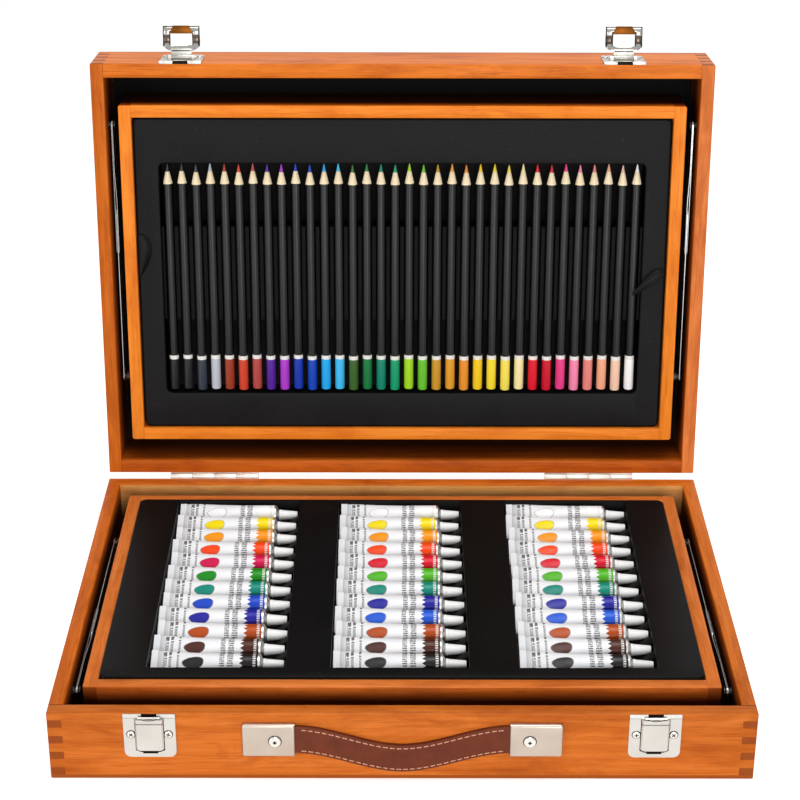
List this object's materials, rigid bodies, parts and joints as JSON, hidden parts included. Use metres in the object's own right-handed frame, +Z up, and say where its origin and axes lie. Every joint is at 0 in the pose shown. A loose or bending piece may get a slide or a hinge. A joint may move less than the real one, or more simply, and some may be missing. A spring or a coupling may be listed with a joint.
{
  "type": "art set case",
  "caption": "Wooden art set case, hinged like a briefcase, with a swing-up tray of pencils in the lid and one of paint tubes in the base, metal hasps and a leather handle.",
  "frame": {"origin": "centre of the underside of the base, on the surface that the case stands on", "axes": "+X to the right as seen from the front, +Y to the hinges at the back, +Z up, with the lid standing open at its stop"},
  "size_m": [0.45, 0.4068, 0.3925],
  "materials": {
    "case_wood": "stained, satin varnish, box-jointed corners",
    "tray_wood": "lighter stain, satin varnish",
    "plywood_panel": "thin plywood, satin varnish",
    "black_lining": "black flocked lining",
    "black_insert": "moulded black sheet, matt",
    "hinge_steel": "plated steel",
    "screw_steel": "domed plated screws",
    "stay_steel": "bright plated strips",
    "tube_metal": "white lacquered soft metal with a colour label",
    "white_cap": "smooth white",
    "pencil_wood": "black gloss lacquer, bare wood at the cut point",
    "pencil_lead": "coloured core, a different colour in each pencil",
    "ribbon": "black woven ribbon",
    "latch_chrome": "bright chrome plate",
    "handle_nickel": "satin nickel",
    "strap_leather": "brown leather with pale stitching along both edges"
  },
  "bodies": {
    "base": {"base_front_board": "case_wood", "base_rear_board": "case_wood", "base_left_board": "case_wood", "base_right_board": "case_wood", "base_panel": "plywood_panel", "base_lining": "black_lining", "base_hinge_leaves": "hinge_steel", "base_screws": "screw_steel", "base_tray_supports": "tray_wood", "base_cleat_leaves": "hinge_steel", "base_tray_hinge_pins": "hinge_steel", "base_case_studs": "stay_steel", "hinge_pins": "hinge_steel", "catch_plates": "latch_chrome", "handle_plates": "handle_nickel", "handle_strap_ends": "strap_leather", "handle_screws": "screw_steel"},
    "lid": {"lid_front_board": "case_wood", "lid_rear_board": "case_wood", "lid_left_board": "case_wood", "lid_right_board": "case_wood", "lid_panel": "plywood_panel", "lid_lining": "black_lining", "lid_hinge_leaves": "hinge_steel", "lid_screws": "screw_steel", "lid_tray_supports": "tray_wood", "lid_cleat_leaves": "hinge_steel", "lid_tray_hinge_pins": "hinge_steel", "lid_case_studs": "stay_steel", "hasp_plates": "latch_chrome", "hasp_pins": "latch_chrome"},
    "base_tray": {"base_tray_frame": "tray_wood", "base_tray_floor": "plywood_panel", "base_tray_leaves": "hinge_steel", "base_tray_studs": "stay_steel", "tube_insert": "black_insert", "paint_tubes": "tube_metal", "tube_caps": "white_cap"},
    "lid_tray": {"lid_tray_frame": "tray_wood", "lid_tray_floor": "plywood_panel", "lid_tray_leaves": "hinge_steel", "lid_tray_studs": "stay_steel"},
    "pencil_tray_insert": {"pencil_insert": "black_insert", "pencil_casings": "pencil_wood", "pencil_leads": "pencil_lead", "pull_ribbons": "ribbon"},
    "handle": {"handle_strap": "strap_leather"},
    "left_hasp": {"left_hasp": "latch_chrome"},
    "right_hasp": {"right_hasp": "latch_chrome"},
    "left_catch_lever": {"left_catch_lever": "latch_chrome"},
    "right_catch_lever": {"right_catch_lever": "latch_chrome"},
    "base_left_stay_fork": {"base_left_stay_fork": "stay_steel"},
    "base_left_stay_bar": {"base_left_stay_bar": "stay_steel"},
    "base_right_stay_fork": {"base_right_stay_fork": "stay_steel"},
    "base_right_stay_bar": {"base_right_stay_bar": "stay_steel"},
    "lid_left_stay_fork": {"lid_left_stay_fork": "stay_steel"},
    "lid_left_stay_bar": {"lid_left_stay_bar": "stay_steel"},
    "lid_right_stay_fork": {"lid_right_stay_fork": "stay_steel"},
    "lid_right_stay_bar": {"lid_right_stay_bar": "stay_steel"}
  },
  "joints": [
    {"name": "lid_hinge", "type": "hinge", "parent": "base", "child": "lid", "pos_m": [0, 0.161, 0.0502], "axis": [1, 0, 0], "range_deg": [0, 95.8]},
    {"name": "base_tray_hinge", "type": "hinge", "parent": "base", "child": "base_tray", "pos_m": [0, 0.1328, 0.0229], "axis": [1, 0, 0], "range_deg": [-30, 0]},
    {"name": "lid_tray_hinge", "type": "hinge", "parent": "lid", "child": "lid_tray", "pos_m": [0, 0.19101, 0.0755], "axis": [-1, 0, 0], "range_deg": [-30, 0]},
    {"name": "pencil_insert_lift", "type": "slide", "parent": "lid_tray", "child": "pencil_tray_insert", "axis": [0, 0.9949, -0.1011], "range_m": [-0.025, 0]},
    {"name": "handle_lift", "type": "slide", "parent": "base", "child": "handle", "axis": [0, -1, 0], "range_m": [0, 0.025]},
    {"name": "left_hasp_hinge", "type": "hinge", "parent": "lid", "child": "left_hasp", "pos_m": [-0.16, 0.20762, 0.36862], "axis": [1, 0, 0], "range_deg": [-75, 90]},
    {"name": "left_catch_hinge", "type": "hinge", "parent": "base", "child": "left_catch_lever", "pos_m": [-0.16, -0.1606, 0.0481], "axis": [1, 0, 0], "range_deg": [-30, 0]},
    {"name": "right_hasp_hinge", "type": "hinge", "parent": "lid", "child": "right_hasp", "pos_m": [0.16, 0.20762, 0.36862], "axis": [1, 0, 0], "range_deg": [-75, 90]},
    {"name": "right_catch_hinge", "type": "hinge", "parent": "base", "child": "right_catch_lever", "pos_m": [0.16, -0.1606, 0.0481], "axis": [1, 0, 0], "range_deg": [-30, 0]},
    {"name": "base_left_stay_fork_pivot", "type": "hinge", "parent": "base", "child": "base_left_stay_fork", "pos_m": [-0.2132, -0.111, 0.035], "axis": [1, 0, 0], "range_deg": [0, 6.6]},
    {"name": "base_left_stay_bar_pivot", "type": "hinge", "parent": "base_tray", "child": "base_left_stay_bar", "pos_m": [-0.2132, 0.084, 0.035], "axis": [1, 0, 0], "range_deg": [0, 36.6]},
    {"name": "base_right_stay_fork_pivot", "type": "hinge", "parent": "base", "child": "base_right_stay_fork", "pos_m": [0.2132, -0.111, 0.035], "axis": [1, 0, 0], "range_deg": [0, 6.6]},
    {"name": "base_right_stay_bar_pivot", "type": "hinge", "parent": "base_tray", "child": "base_right_stay_bar", "pos_m": [0.2132, 0.084, 0.035], "axis": [1, 0, 0], "range_deg": [0, 36.6]},
    {"name": "lid_left_stay_fork_pivot", "type": "hinge", "parent": "lid", "child": "lid_left_stay_fork", "pos_m": [-0.2132, 0.20361, 0.31927], "axis": [-1, 0, 0], "range_deg": [0, 6.6]},
    {"name": "lid_left_stay_bar_pivot", "type": "hinge", "parent": "lid_tray", "child": "lid_left_stay_bar", "pos_m": [-0.2132, 0.1839, 0.12527], "axis": [-1, 0, 0], "range_deg": [0, 36.6]},
    {"name": "lid_right_stay_fork_pivot", "type": "hinge", "parent": "lid", "child": "lid_right_stay_fork", "pos_m": [0.2132, 0.20361, 0.31927], "axis": [-1, 0, 0], "range_deg": [0, 6.6]},
    {"name": "lid_right_stay_bar_pivot", "type": "hinge", "parent": "lid_tray", "child": "lid_right_stay_bar", "pos_m": [0.2132, 0.1839, 0.12527], "axis": [-1, 0, 0], "range_deg": [0, 36.6]}
  ],
  "couplings": [
    {"joint": "base_left_stay_fork_pivot", "follows": "base_tray_hinge", "ratio": -0.2169},
    {"joint": "base_left_stay_bar_pivot", "follows": "base_tray_hinge", "ratio": -1.2169},
    {"joint": "base_right_stay_fork_pivot", "follows": "base_tray_hinge", "ratio": -0.2169},
    {"joint": "base_right_stay_bar_pivot", "follows": "base_tray_hinge", "ratio": -1.2169},
    {"joint": "lid_left_stay_fork_pivot", "follows": "lid_tray_hinge", "ratio": -0.2169},
    {"joint": "lid_left_stay_bar_pivot", "follows": "lid_tray_hinge", "ratio": -1.2169},
    {"joint": "lid_right_stay_fork_pivot", "follows": "lid_tray_hinge", "ratio": -0.2169},
    {"joint": "lid_right_stay_bar_pivot", "follows": "lid_tray_hinge", "ratio": -1.2169}
  ]
}
